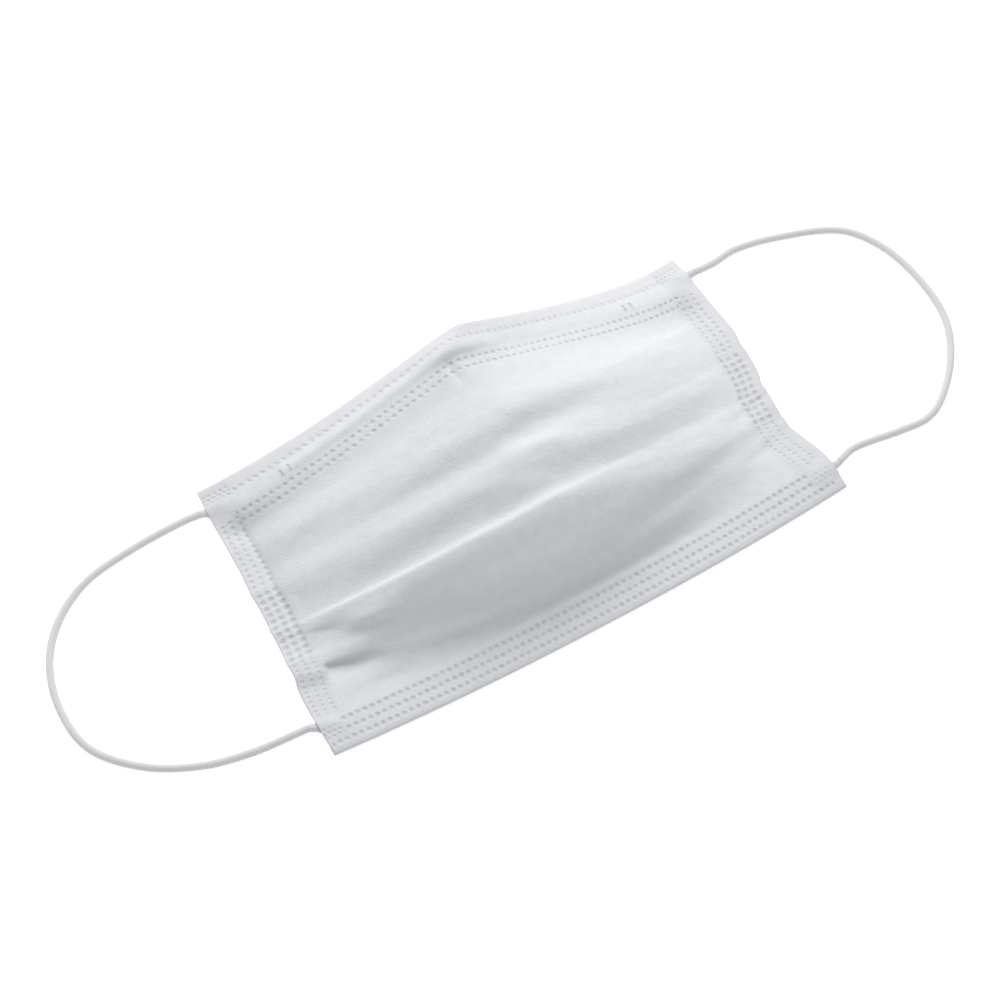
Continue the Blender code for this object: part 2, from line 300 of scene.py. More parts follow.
# %% Routes of the two loops
LOOP_DIAMETER = 0.0024
LOOP_HEIGHT = LOOP_DIAMETER / 2
LOOP_STEP = 0.0005
LOOP_SIDES = 32
FINE_POINTS = 1200
LEFT_ROUTE = (
    (-0.08468, 0.04273), (-0.0905, 0.0430), (-0.1085, 0.0420), (-0.1240, 0.0390), (-0.1360, 0.0315),
    (-0.1440, 0.0210), (-0.1480, 0.0065), (-0.1465, -0.0090), (-0.1360, -0.0220), (-0.1210, -0.0305),
    (-0.1065, -0.0340), (-0.0950, -0.0350), (-0.08969, -0.03529),
)
RIGHT_ROUTE = (
    (0.08907, 0.04218), (0.0960, 0.0420), (0.1045, 0.0430), (0.1195, 0.0400), (0.1380, 0.0320),
    (0.1455, 0.0205), (0.1485, 0.0040), (0.1470, -0.0120), (0.1395, -0.0255), (0.1275, -0.0365),
    (0.1210, -0.0390), (0.1125, -0.0385), (0.0960, -0.0365), (0.08972, -0.0382),
)


def even_route(route, step):
    """The route's smooth curve, as points a step apart."""
    knots = np.array([(x, y, LOOP_HEIGHT) for x, y in route])
    fine = smooth_curve(knots, np.linspace(0.0, len(knots) - 1, FINE_POINTS))
    lengths = run_lengths(fine)
    even = np.linspace(0.0, lengths[-1], round(lengths[-1] / step) + 1)
    return np.array([np.interp(even, lengths, fine[:, axis]) for axis in range(3)]).T


loop_paths = {"left": even_route(LEFT_ROUTE, LOOP_STEP), "right": even_route(RIGHT_ROUTE, LOOP_STEP)}
for side, path in loop_paths.items():
    print(side, "loop length:", round(float(run_lengths(path)[-1]), 4))

# %% [markdown]
# ## Knitted elastic
# Seen close up, the cord is a fine tubular knit: columns of small V-shaped stitches run along it. The V is
# a bump that leans one way on the left half of a column and the other way on the right half. The cord is
# matte. Its colour is set a little grey and its grooves darker, as painted shade of the knit's own small
# shadows.

# %% Elastic finish
KNIT_COLUMNS = 12.0
STITCH_LENGTH = 0.0008
STITCH_SLANT = 1.3
STITCH_DEPTH = 0.00007
FUZZ_DEPTH = 0.00002
# Painted shade: the cord's white is set greyer than the yarn, and the groove grey darkens the grooves where
# the knit shades itself
ELASTIC_WHITE_WITH_KNIT_SHADE = (0.80, 0.805, 0.815)
ELASTIC_GROOVE_SHADE = (0.60, 0.60, 0.62)


def elastic_finish():
    finish = Finish("knitted elastic", Roughness=0.82, Specular_IOR_Level=0.35)
    along, around = finish.flat_map("knit")
    column = (around * KNIT_COLUMNS).fract() - 0.5
    lean = column.size()
    row = (along / STITCH_LENGTH + lean * STITCH_SLANT).fract() - 0.5
    yarn = (1.0 - row.size() * 2.0) ** 0.7
    seam = lean.above(0.34, 0.5)
    relief = yarn * (1.0 - seam * 0.8)
    fuzz = finish.noise(finish.place(), size=0.00015, detail=3.0, roughness=0.6)
    # Painted shade: the grooves between the stitches are coloured darker
    groove_shade = 1.0 - relief
    finish.bumped(relief * STITCH_DEPTH + fuzz * FUZZ_DEPTH)
    finish.feed("Base Color", finish.mixed(groove_shade * 0.5, ELASTIC_WHITE_WITH_KNIT_SHADE, ELASTIC_GROOVE_SHADE))
    return finish


elastic = elastic_finish()
print("made", elastic.material.name)

# %% Wrap a tube round each route
def tube_places(path, half_width, half_height):
    """Rings round a path that lies flat. The half sizes are numbers or one value for each point."""
    ahead = np.gradient(path, axis=0)
    ahead /= np.linalg.norm(ahead, axis=1)[:, None]
    up = np.array((0.0, 0.0, 1.0))
    side = np.cross(ahead, up)
    turn = np.linspace(0.0, tau, LOOP_SIDES + 1)
    wide = np.broadcast_to(half_width, len(path))[:, None, None]
    high = np.broadcast_to(half_height, len(path))[:, None, None]
    ring = wide * np.cos(turn)[None, :, None] * side[:, None, :]
    return path[:, None, :] + ring + high * np.sin(turn)[None, :, None] * up


def closed_tube(name, places, path):
    """A tube with its seam merged, its ends filled and its faces pointing outwards."""
    along = np.repeat(run_lengths(path)[:, None], places.shape[1], axis=1)
    around = np.repeat(np.linspace(0.0, 1.0, places.shape[1])[None, :], len(path), axis=0)
    mesh = grid_mesh(name, places, {"knit": np.stack((along, around), axis=2)})
    shell = bmesh.new()
    shell.from_mesh(mesh)
    bmesh.ops.remove_doubles(shell, verts=shell.verts, dist=1e-6)
    rims = [edge for edge in shell.edges if edge.is_boundary]
    bmesh.ops.holes_fill(shell, edges=rims, sides=0)
    bmesh.ops.recalc_face_normals(shell, faces=shell.faces)
    shell.to_mesh(mesh)
    shell.free()
    return mesh


def soft_radius(path):
    """The elastic isn't quite even: it is a little thinner in some places than in others."""
    run = run_lengths(path)
    return LOOP_HEIGHT * (0.975 + 0.018 * np.sin(run / 0.0071) + 0.007 * np.sin(run / 0.0023 + 1.0))


for side, path in loop_paths.items():
    radius = soft_radius(path)
    places = tube_places(path, radius, radius)
    mesh = closed_tube("loop_" + side, places, path)
    new_piece("loop_" + side, mesh, elastic)
    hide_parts("ear_loop_" + side)
    print("loop_" + side, "faces:", len(mesh.polygons))

# %% [markdown]
# ## Welded ends of the loops
# The last centimetre of each loop lies under the cloth, pressed flat by the welding tool. It leaves the
# corner flat and swells back to a round cord within a few millimetres, so the same tube is used again,
# with a width and a height that change along it.

# %% Flattened ends
END_LENGTH = 0.0100
END_WIDTH = 0.0040
END_THICKNESS = 0.0008
END_STEP = 0.0002
# The flat end's own tip is this far outside the corner
END_AHEAD = 0.0003
SWELL_RANGE = (0.0012, 0.0048)
CUT_ROUNDING = 0.0008
TOOTH_DEPTH = 0.06
LoopEnd = namedtuple("LoopEnd", "name side tip heading")
LOOP_ENDS = (
    LoopEnd("loop_end_left_top", -1, (-0.08439, 0.04265), 16.0),
    LoopEnd("loop_end_left_bottom", -1, (-0.08941, -0.03541), 24.0),
    LoopEnd("loop_end_right_top", 1, (0.08877, 0.04216), 4.0),
    LoopEnd("loop_end_right_bottom", 1, (0.08942, -0.03826), 12.0),
)


def heading_out(end):
    """The level direction in which a loop leaves its corner."""
    return np.array((end.side * cos(radians(end.heading)), sin(radians(end.heading)), 0.0))


def flattened_end(end):
    """The rings and the path of one end, from the round cord to its flat, rounded cut."""
    outward = heading_out(end)
    run = np.arange(0.0, END_LENGTH + 2 * END_STEP, END_STEP)
    swell = 1.0 - smoothstep(*SWELL_RANGE, run)
    half_width = END_WIDTH / 2 * (1.0 - swell) + LOOP_HEIGHT * 1.02 * swell
    half_height = END_THICKNESS / 2 * (1.0 - swell) + LOOP_HEIGHT * 0.98 * swell
    cut = np.sqrt(np.clip((run[-1] - run) / CUT_ROUNDING, 0.02, 1.0))
    teeth = 1.0 + TOOTH_DEPTH * np.sin(run / END_STEP * 0.9) * (1.0 - swell)
    tip = np.array((*end.tip, 0.0)) + outward * END_AHEAD
    path = tip - outward * run[:, None]
    path[:, 2] = half_height
    return tube_places(path, half_width * cut, half_height * teeth), path


for end in LOOP_ENDS:
    places, path = flattened_end(end)
    places[:, :, 2] = np.maximum(places[:, :, 2], 0.0)
    mesh = closed_tube("weld_" + end.name, places, path)
    new_piece("weld_" + end.name, mesh, elastic)
    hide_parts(end.name)

# %% [markdown]
# ## The form of the panel
# The panel is drawn as a maker would fold it: fourteen named lines run across it, from the nose edge to
# the chin edge, and each says where it meets the two side edges and how high it stands in the middle.
# Three of them are pleats, where the sheet turns back under itself. A smooth curve through these lines at
# every station gives the whole sheet, so a fold keeps its place from one side to the other.

# %% Lines of the panel
MASK_WIDTH = 0.1745
HALF_WIDTH = MASK_WIDTH / 2
SIDE_LENGTH = 0.095
BULGE = 0.0335
REST = 0.0016
PLY_STEP = 0.0006
PLEAT_LIP = 0.0022
PLEAT_TUCK = 0.0033
TUCK_KEPT = 0.3
BAND_SHARE = 0.91
STIFF_LINES = ("nose_edge", "wire_line", "channel_foot")
NOSE_ROUNDING = 0.05
# Shares of the way out from the middle, over which the layers stack up and a pleat changes
LAYERS_RANGE = (0.30, 0.95)
DROP_RANGE = (0.05, 0.45)
LEAN_RANGE = (0.0, 0.8)
LIP_RANGE = (0.75, 0.90)
POCKET_FADE = 0.20
NOSE_SHARE, POCKET_SHARE = 0.12, 0.55

# Each line's two ends, in shares of the half width and the side length, with the layers of cloth there,
# how the line bends on its way and how quickly it falls from the middle
Side = namedtuple("Side", "x y ply bow dome")
Line = namedtuple("Line", "name left mid_y peak_x rise right")
LINES = (
    Line("nose_edge", Side(-0.937, 1.000, 0.0, 2.8, 1.00), 0.931, 0.045, 1.000,
         Side(0.981, 1.000, 0.0, 4.2, 0.85)),
    Line("wire_line", Side(-0.940, 0.937, 0.0, 2.6, 1.04), 0.886, 0.010, 0.996,
         Side(0.989, 0.938, 0.0, 3.8, 0.90)),
    Line("channel_foot", Side(-0.944, 0.873, 0.0, 2.4, 1.12), 0.834, -0.023, 0.962,
         Side(0.994, 0.875, 0.3, 3.0, 1.00)),
    Line("brow", Side(-0.947, 0.815, 0.5, 2.2, 1.34), 0.728, -0.010, 0.940,
         Side(0.997, 0.800, 0.8, 2.2, 1.20)),
    Line("ridge", Side(-0.950, 0.760, 1.5, 2.0, 1.60), 0.578, 0.000, 0.955,
         Side(1.000, 0.725, 1.7, 1.5, 1.52)),
    Line("dip", Side(-0.954, 0.670, 1.5, 2.0, 1.66), 0.500, 0.000, 0.886,
         Side(1.000, 0.650, 2.6, 1.6, 1.68)),
    Line("fold_a", Side(-0.963, 0.568, 2.0, 2.1, 1.80), 0.420, 0.000, 0.892,
         Side(0.991, 0.577, 2.6, 2.2, 1.50)),
    Line("hollow", Side(-0.968, 0.466, 1.7, 2.1, 1.60), 0.312, 0.000, 0.792,
         Side(0.979, 0.474, 2.0, 1.6, 1.19)),
    Line("fold_b", Side(-0.972, 0.428, 2.0, 2.1, 1.78), 0.264, 0.000, 0.810,
         Side(0.966, 0.420, 2.0, 1.42, 1.15)),
    Line("slope", Side(-0.977, 0.362, 1.6, 2.0, 1.60), 0.199, 0.000, 0.514,
         Side(0.960, 0.360, 1.8, 1.8, 1.65)),
    Line("fold_c", Side(-0.983, 0.298, 2.8, 2.1, 1.38), 0.157, 0.000, 0.276,
         Side(0.957, 0.290, 1.0, 1.8, 1.90)),
    Line("foot", Side(-0.993, 0.232, 0.0, 2.0, 2.40), 0.1075, 0.000, 0.054,
         Side(0.975, 0.205, 0.8, 2.2, 3.20)),
    Line("hem_line", Side(-1.000, 0.121, 0.0, 2.2, 2.00), 0.088, 0.000, 0.000,
         Side(0.998, 0.121, 1.3, 2.2, 2.00)),
    Line("chin_edge", Side(-0.998, 0.000, 0.0, 2.2, 2.00), -0.034, 0.000, 0.000,
         Side(0.998, 0.000, 0.0, 2.2, 2.00)),
)
MID_SHARE = (LINES[0].left.y + LINES[-1].mid_y) / 2

# Drops: how far the sheet steps down behind the folded edge, left, right and in the middle.
# Side drops: the same beside the two bands, which begins at the reaches. Opened: how far the sheet below
# starts ahead of the edge. Tucks: how far the fold is closed beside the bands. Weld: the step that is left
# inside the bands, down and ahead, and where the bands start. Lean: how steeply the sheet comes down to the
# edge, left, right and in the middle. Roll: shares of the drop at the edge and half way.
Pleat = namedtuple("Pleat", "drops side_drops opened reaches tucks weld lean roll")
PLEATS = {
    "fold_a": Pleat((0.030, 0.030, 0.030), (0.014, 0.014), 0.030, (0.45, 0.55), (0.0, 0.0),
                    (0.0002, 0.0022, 0.835, 0.90), (-0.04, -0.04, 0.0), (0.20, 0.50)),
    "fold_b": Pleat((0.145, 0.040, 0.175), (0.040, 0.010), 0.045, (0.50, 0.45), (0.0, 0.0),
                    (0.0003, 0.0012, 0.720, 0.91), (-0.06, -0.06, -0.08), (0.18, 0.48)),
    "fold_c": Pleat((0.070, 0.060, 0.135), (0.095, 0.028), 0.030, (0.64, 0.55), (0.3, 0.0),
                    (0.0002, 0.0022, 0.870, 0.915), (0.40, 0.25, 1.60), (0.20, 0.55)),
}
print("lines:", len(LINES), "pleats:", len(PLEATS))

# %% The sheet at one station
def line_point(line, t):
    """Point of a line at t, -1 at the left edge, 0 at its peak and 1 at the right edge."""
    out = abs(t)
    side = line.left if t < 0 else line.right
    x = HALF_WIDTH * blend(line.peak_x, side.x, out)
    y = blend(line.mid_y, side.y, out ** side.bow)
    rounded = (out ** 2 + NOSE_ROUNDING ** 2) ** 0.5 - NOSE_ROUNDING * (1.0 - out)
    share = 1.0 if line.name in STIFF_LINES else BAND_SHARE
    risen = 1.0 - min(rounded / share, 1.0) ** side.dome
    layers = PLY_STEP * side.ply * smoothstep(*LAYERS_RANGE, out)
    return np.array((x, SIDE_LENGTH * (y - MID_SHARE), REST + layers + line.rise * BULGE * risen))


def pleat_points(line, pleat, t):
    """The four points where the sheet rounds a folded edge and starts again beneath it."""
    out = abs(t)
    hand = 0 if t < 0 else 1
    reach = pleat.reaches[hand]
    weld_drop, weld_ahead, weld_from, weld_to = pleat.weld
    free = 1.0 - smoothstep(weld_from, weld_to, out)
    beside = free * smoothstep(reach, reach + POCKET_FADE, out)
    tucked = beside * pleat.tucks[hand]
    mid_drop = blend(pleat.drops[2], pleat.drops[hand], smoothstep(*DROP_RANGE, out))
    free_drop = blend(mid_drop, pleat.side_drops[hand], beside)
    drop = weld_drop * (1.0 - free) + free_drop * BULGE * free
    nose_share = blend(pleat.roll[0], NOSE_SHARE, tucked)
    pocket_share = blend(pleat.roll[1], POCKET_SHARE, tucked)
    ahead = blend(weld_ahead, pleat.opened * SIDE_LENGTH, free)
    tuck = PLEAT_TUCK * tucked
    edge = line_point(line, t)
    lean = blend(pleat.lean[2], pleat.lean[hand], smoothstep(*LEAN_RANGE, out))
    lip = edge + (0.0, PLEAT_LIP, PLEAT_LIP * lean * (1.0 - smoothstep(*LIP_RANGE, out)))
    nose = edge - (0.0, 0.0, nose_share * drop)
    under = edge + (0.0, tuck - 0.5 * ahead * (1.0 - tucked), -pocket_share * drop)
    lower = edge + (0.0, TUCK_KEPT * tuck - ahead * (1.0 - tucked), -drop)
    return [lip, nose, under, lower]


def sheet_row(t, places):
    """The sheet at one station, from the nose edge to the chin edge, never below its flat edges."""
    points = []
    for line in LINES:
        if line.name in PLEATS:
            points += pleat_points(line, PLEATS[line.name], t)
        else:
            points.append(line_point(line, t))
    row = smooth_curve(np.array(points), places)
    row[:, 2] = np.maximum(row[:, 2], REST)
    return row


# How many rows of faces lie between one point of the profile and the next
ROWS_BETWEEN = (7, 7, 8, 8, 6, 8, 5, 4, 4, 6, 6, 5, 4, 4, 6, 6, 4, 4, 4, 5, 7, 8)
STATIONS = 364
row_places = np.concatenate(
    [first + np.arange(count) / count for first, count in enumerate(ROWS_BETWEEN)] + [[len(ROWS_BETWEEN)]])
stations = np.linspace(-1.0, 1.0, STATIONS + 1)
sheet = np.array([sheet_row(t, row_places) for t in stations])
print("sheet points:", sheet.shape[0] * sheet.shape[1])

# %% [markdown]
# ## Small relief
# Real cloth shows what is welded to it. The wire lifts a band along the nose edge, every row of pits pulls
# the plies together and leaves a soft cushion beside it, and the ends of the loops swell the four corners.
# These are moves of a fraction of a millimetre along the sheet's own normals.

# %% Move the sheet along its normals
WIRE_LENGTH = 0.118
WIRE_WIDTH = 0.0030
WIRE_DROP = 0.0078
WIRE_LIFT = 0.00042
NOSE_ROWS = (0.0048, 0.0124, 0.0151)
CHIN_ROWS = (0.0022, 0.00535, 0.0085)
SIDE_ROWS = (0.0033, 0.0059, 0.0085)
ROW_HALF_WIDTH = 0.0008
# The side rows are a little off centre: this much nearer the left edge, and further from the right
LEFT_SHIFT, RIGHT_SHIFT = 0.0016, 0.0004
# Where the cloth over the wire starts to rise and is up, and where it falls again, below the nose edge
WIRE_RISE, WIRE_FALL = (0.0054, 0.0084), (0.0088, 0.0103)
# The part of each side where the pleats lie on one another, and the part of the panel that is wavy, along Y
STACK_RISE, STACK_FALL = (-0.036, -0.030), (0.030, 0.037)
WAVES_RISE, WAVES_FALL = (-0.036, -0.028), (0.022, 0.030)
CORNER_LIFT = 0.00075
CORNER_FADE = (0.007, 0.0125)


def sheet_normals(points):
    """Which way is out of the sheet at each of its points."""
    across = np.gradient(points, axis=0)
    along = np.gradient(points, axis=1)
    normals = np.cross(across, -along)
    return normals / np.linalg.norm(normals, axis=2)[:, :, None]


def lengths_down(points):
    """Distance along the cloth from the nose edge, at each point of the sheet."""
    steps = np.linalg.norm(np.diff(points, axis=1), axis=2)
    return np.concatenate((np.zeros((len(points), 1)), np.cumsum(steps, axis=1)), axis=1)


def hump(distance, width):
    return np.exp(-(distance / width) ** 2)


def row_cushions(gap, rows, pinch, puff, reach):
    """Pinched at each row of pits and puffed out beside it."""
    relief = np.zeros_like(gap)
    for row in rows:
        relief -= pinch * hump(gap - row, ROW_HALF_WIDTH)
    return relief + puff * plateau((0.0, 0.0012), (reach, reach + 0.0015), gap)


# Soft creases left by folding and handling: from one point to another, with a half width and a rise
Crease = namedtuple("Crease", "start end width rise")
CREASES = (
    Crease((-0.0042, 0.0325), (-0.0038, 0.0282), 0.0012, -0.00055),
    Crease((-0.0030, 0.0370), (0.0080, 0.0350), 0.0034, 0.00085),
    Crease((-0.0500, 0.0080), (0.0040, 0.0105), 0.0038, 0.00035),
    Crease((0.0060, 0.0036), (0.0240, 0.0050), 0.0046, -0.00110),
    Crease((-0.0020, -0.0020), (0.0100, -0.0030), 0.0032, 0.00080),
    Crease((0.0060, -0.0120), (0.0190, -0.0125), 0.0040, -0.00070),
    Crease((-0.0520, -0.0075), (-0.0130, -0.0118), 0.0036, -0.00050),
    Crease((0.0400, 0.0135), (0.0760, 0.0230), 0.0011, 0.00022),
    Crease((-0.0700, -0.0330), (-0.0600, -0.0335), 0.0020, -0.00030),
    Crease((-0.0700, 0.0140), (-0.0560, 0.0160), 0.0030, -0.00025),
    Crease((-0.0150, -0.0158), (0.0080, -0.0150), 0.0024, -0.00060),
)


def soft_creases(x, y):
    relief = np.zeros_like(x)
    for crease in CREASES:
        ahead = np.subtract(crease.end, crease.start)
        length = np.linalg.norm(ahead)
        ahead /= length
        along = (x - crease.start[0]) * ahead[0] + (y - crease.start[1]) * ahead[1]
        aside = (x - crease.start[0]) * ahead[1] - (y - crease.start[1]) * ahead[0]
        beyond = np.maximum(np.maximum(-along, along - length), 0.0)
        relief += crease.rise * hump(aside, crease.width) * hump(beyond, crease.width * 1.8)
    return relief


def slow_waves(x, y):
    """Low, drawn-out waves, as in cloth that was pressed in a stack and then opened by hand."""
    bent = 2.0 * np.sin(x / 0.031 + 0.6) + 1.2 * np.sin(x / 0.013 - y / 0.020)
    wide = 0.00009 * np.sin(y / 0.0021 + bent)
    fine = 0.00003 * np.sin(y / 0.0009 + 1.4 * bent + x / 0.006)
    return (wide + fine) * plateau(WAVES_RISE, WAVES_FALL, y)


def side_gaps(points):
    """How far each point is from the line where the nearer side's rows are counted from."""
    left = points[:, :, 0] - points[:1, :, 0] + LEFT_SHIFT
    right = points[-1:, :, 0] - points[:, :, 0] - RIGHT_SHIFT
    return np.minimum(left, right)


def small_relief(points):
    """How far each point moves out of the sheet: over the wire, at the weld rows, corners and creases."""
    down = lengths_down(points)
    up = down[:, -1:] - down
    side_gap = side_gaps(points)
    x, y = points[:, :, 0], points[:, :, 1]
    wire_ends = 1.0 - smoothstep(WIRE_LENGTH / 2 - 0.002, WIRE_LENGTH / 2 + 0.001, np.abs(x))
    wire_band = plateau(WIRE_RISE, WIRE_FALL, down)
    relief = WIRE_LIFT * wire_band * wire_ends * (1.0 - 0.6 * smoothstep(-0.002, 0.010, x))
    relief += row_cushions(down, NOSE_ROWS, pinch=0.00007, puff=0.00008, reach=0.0158)
    relief += row_cushions(up, CHIN_ROWS, pinch=0.00010, puff=0.00012, reach=0.0094)
    stack = plateau(STACK_RISE, STACK_FALL, y)
    relief += row_cushions(side_gap, SIDE_ROWS, pinch=0.00004, puff=0.00008, reach=0.0098) * stack
    for end in LOOP_ENDS:
        outward = heading_out(end)
        inward = (end.tip[0] - x) * outward[0] + (end.tip[1] - y) * outward[1]
        aside = (end.tip[0] - x) * outward[1] - (end.tip[1] - y) * outward[0]
        relief += CORNER_LIFT * hump(aside, LOOP_DIAMETER) * (1.0 - smoothstep(*CORNER_FADE, inward))
    return relief + soft_creases(x, y) + slow_waves(x, y) * smoothstep(0.009, 0.020, side_gap)


def apply_relief(points, relief):
    moved = points + sheet_normals(points) * relief[:, :, None]
    moved[:, :, 2] = np.maximum(moved[:, :, 2], REST)
    return moved


sheet = apply_relief(sheet, small_relief(sheet))
print("relief applied")

# %% [markdown]
# ## Flat measures of the panel
# The weld rows are set out from the edges, so the cloth needs rulers that lie in its surface: how far a
# point is from the nose edge, from the chin edge and from the nearer side edge, and how far along each
# edge it is. They are measured on the finished sheet and kept as UV maps.

# %% Rulers
# The left half of the nose edge is drawn out along the wire, so its pits stand a little further apart
NOSE_STRETCH = 0.865


def surface_maps(points):
    """UV maps in metres: along an edge, and in from it."""
    down = lengths_down(points)
    up = down[:, -1:] - down
    rows = points.shape[1]
    nose_run = np.repeat(run_lengths(points[:, 0])[:, None], rows, axis=1)
    chin_run = np.repeat(run_lengths(points[:, -1])[:, None], rows, axis=1)
    side_gap = side_gaps(points)
    middle = len(points) // 2
    nose_run -= nose_run[middle, 0]
    nose_run = np.where(nose_run < 0.0, nose_run * NOSE_STRETCH, nose_run)
    chin_run -= chin_run[middle, 0]
    return {
        "cloth": np.stack((0.5 * (nose_run + chin_run), down), axis=2),
        "nose": np.stack((nose_run, down), axis=2),
        "chin": np.stack((chin_run, up), axis=2),
        "side": np.stack((points[:, :, 1], side_gap), axis=2),
    }


rulers = surface_maps(sheet)
print("nose edge:", round(float(np.ptp(rulers["nose"][:, 0, 0])), 4),
      "middle profile:", round(float(rulers["nose"][STATIONS // 2, -1, 1]), 4))

# %% [markdown]
# ## Non-woven cloth
# The cloth is spun plastic fibre, pressed together and never woven. It is matte and white, slightly uneven
# in thickness like handmade paper, with a fine felt of fibres. The plies are joined by small pits that hot
# pins have pressed into them. The pits are a pattern on the rulers, so they follow every edge: their relief
# is a bump, and their melted floor is a little darker and shinier.

# %% Rows of welded pits
# Pitch along a row, gap of the first row from the edge, step to the next row, how many rows, reach of a pit
# along and across the row, the shift of each next row in pitches, and the slant of a pit
PitRows = namedtuple("PitRows", "pitch first step count wide high stagger slant")
SIDE_UPPER = PitRows(0.00210, 0.0033, 0.0026, 3, 0.00050, 0.00050, 0.0, 0.0)
SIDE_STACK = PitRows(0.00232, 0.0033, 0.0026, 3, 0.00074, 0.00080, 0.0, 0.0)
SIDE_LOWER = PitRows(0.00165, 0.0033, 0.0026, 3, 0.00040, 0.00040, 0.5, 0.0)
NOSE_DASHES = PitRows(0.00224, 0.0048, 0.0030, 1, 0.00046, 0.00072, 0.0, -0.55)
NOSE_DOUBLE = PitRows(0.00224, 0.0124, 0.0027, 2, 0.00052, 0.00052, 0.5, 0.0)
NOSE_CORNER = PitRows(0.0017, 0.0027, 0.0014, 3, 0.00040, 0.00040, 0.5, 0.0)
CHIN_TRIPLE = PitRows(0.00224, 0.0022, 0.00315, 3, 0.00062, 0.00062, 0.0, 0.0)
CHIN_CORNER = PitRows(0.0017, 0.0046, 0.0014, 3, 0.00038, 0.00038, 0.5, 0.0)
# A pit is full depth up to the first share of its size and gone at the second
PIT_SLOPE = (0.25, 1.80)
END_MARKS = (0.0248, 0.0274)
SOFT_END = 0.0003


def pits(rows, run, gap):
    """1 on each pit and 0 between them, for points at a run along the rows and a gap from the edge."""
    line = (gap - rows.first) / rows.step + 0.5
    row = line.floor()
    aside = (line - row - 0.5) * rows.step
    column = (run + aside * rows.slant) / rows.pitch + row * rows.stagger
    along = (column.fract() - 0.5) * rows.pitch
    reach = ((along / rows.wide) ** 2.0 + (aside / rows.high) ** 2.0) ** 0.5
    chosen = row.above(-0.6, -0.4) * (1.0 - row.above(rows.count - 0.6, rows.count - 0.4))
    return (1.0 - reach.above(*PIT_SLOPE)) * chosen


def bars(run, gap, middles, half_width, low, high):
    """Short bars across a hem, one at each of the middles."""
    found = 0.0
    for middle in middles:
        found = (1.0 - (run - middle).size().above(half_width * 0.6, half_width * 1.4)) + found
    return found * gap.within(low, high, SOFT_END)


def side_pits(along, gap):
    """Three rows down each side: small above the first pleat, large and deep over the folded stack."""
    upper = pits(SIDE_UPPER, along, gap)
    stack = pits(SIDE_STACK, along, gap)
    lower = pits(SIDE_LOWER, along, gap)
    return (upper * along.within(0.0100, 0.0345, SOFT_END) * 0.75
            + stack * along.within(-0.0168, 0.0095, SOFT_END)
            + lower * along.within(-0.0350, -0.0175, SOFT_END) * 0.55)


def nose_pits(run, depth, side_gap):
    """A row of slanting dashes, a double row, dots in the corners and marks at the wire's ends."""
    dashes = pits(NOSE_DASHES, run, depth)
    double = pits(NOSE_DOUBLE, run, depth)
    corner = pits(NOSE_CORNER, side_gap, depth)
    marks = bars(side_gap, depth, END_MARKS, half_width=0.00040, low=0.0076, high=0.0098)
    return (dashes * side_gap.above(0.0105, 0.0108) * 0.6
            + double * side_gap.above(0.0085, 0.0088) * 0.85
            + corner * side_gap.within(0.0020, 0.0102, 0.0002) * 0.6
            + marks * 0.85)


def chin_pits(run, height, side_gap):
    """Three rows, of which the first runs on into the corners, below dots like those of the nose edge."""
    rows = pits(CHIN_TRIPLE, run, height)
    corner = pits(CHIN_CORNER, side_gap, height)
    first_row = (1.0 - height.above(0.0034, 0.0037)) * side_gap.above(0.0024, 0.0027)
    return (rows * side_gap.above(0.0080, 0.0083).math("MAXIMUM", first_row)
            + corner * side_gap.within(0.0018, 0.0074, 0.0002) * 0.55)


print("weld patterns ready")

# %% Cloth finish
CLOTH_WHITE = (0.80, 0.805, 0.825)
CLOTH_THIN = (0.755, 0.76, 0.782)
BAND_WHITE = (0.69, 0.70, 0.725)
PIT_GREY = (0.48, 0.49, 0.53)
PIT_DEPTH = 0.00030
CLOUD_DEPTH = 0.00026
FELT_DEPTH = 0.00017
STRAND_DEPTH = 0.000050


def cloth_finish(name, welded):
    """The fibre felt, with the weld patterns of a piece that has the rulers for them."""
    finish = Finish(name, Roughness=0.85, Specular_IOR_Level=0.3)
    across, down = finish.flat_map("cloth")
    spot = finish.joined(across, down)
    clouds = finish.noise(spot, size=0.0042, detail=3.0, roughness=0.55)
    felt = finish.noise(spot, size=0.0007, detail=4.0, roughness=0.65, distortion=0.6)
    strand = {"size": 0.00022, "detail": 3.0, "roughness": 0.6, "distortion": 1.2}
    strands = finish.noise(finish.joined(across * 0.35, down), **strand)
    crossed = finish.noise(finish.joined(across, down * 0.3), **strand)
    height = clouds * CLOUD_DEPTH + felt * FELT_DEPTH + (strands + crossed) * STRAND_DEPTH
    thin = clouds.above(0.38, 0.66) * 0.45 + felt.above(0.35, 0.7) * 0.5
    colour = finish.mixed(thin, CLOTH_WHITE, CLOTH_THIN)
    if welded:
        side_run, side_gap = finish.flat_map("side")
        nose_run, depth = finish.flat_map("nose")
        chin_run, rise = finish.flat_map("chin")
        pressed = (side_pits(side_run, side_gap) + nose_pits(nose_run, depth, side_gap)
                   + chin_pits(chin_run, rise, side_gap))
        uneven = finish.noise(spot, size=0.0035, detail=1.0) * 0.8 + 0.55
        pressed = (pressed * uneven).math("MINIMUM", 1.0)
        height = height - pressed * PIT_DEPTH
        colour = finish.mixed((1.0 - rise.above(0.0093, 0.0105)) * 0.55, colour, BAND_WHITE)
        colour = finish.mixed((1.0 - side_gap.above(0.0096, 0.0112)) * 0.4, colour, BAND_WHITE)
        colour = finish.mixed(pressed ** 1.6 * 0.62, colour, PIT_GREY)
        finish.feed("Roughness", 0.85 - pressed * 0.35)
    finish.bumped(height)
    finish.feed("Base Color", colour)
    return finish


panel_cloth = cloth_finish("welded non-woven", True)
print("made", panel_cloth.material.name)

# %% Panel
PANEL_WALL = 0.0003
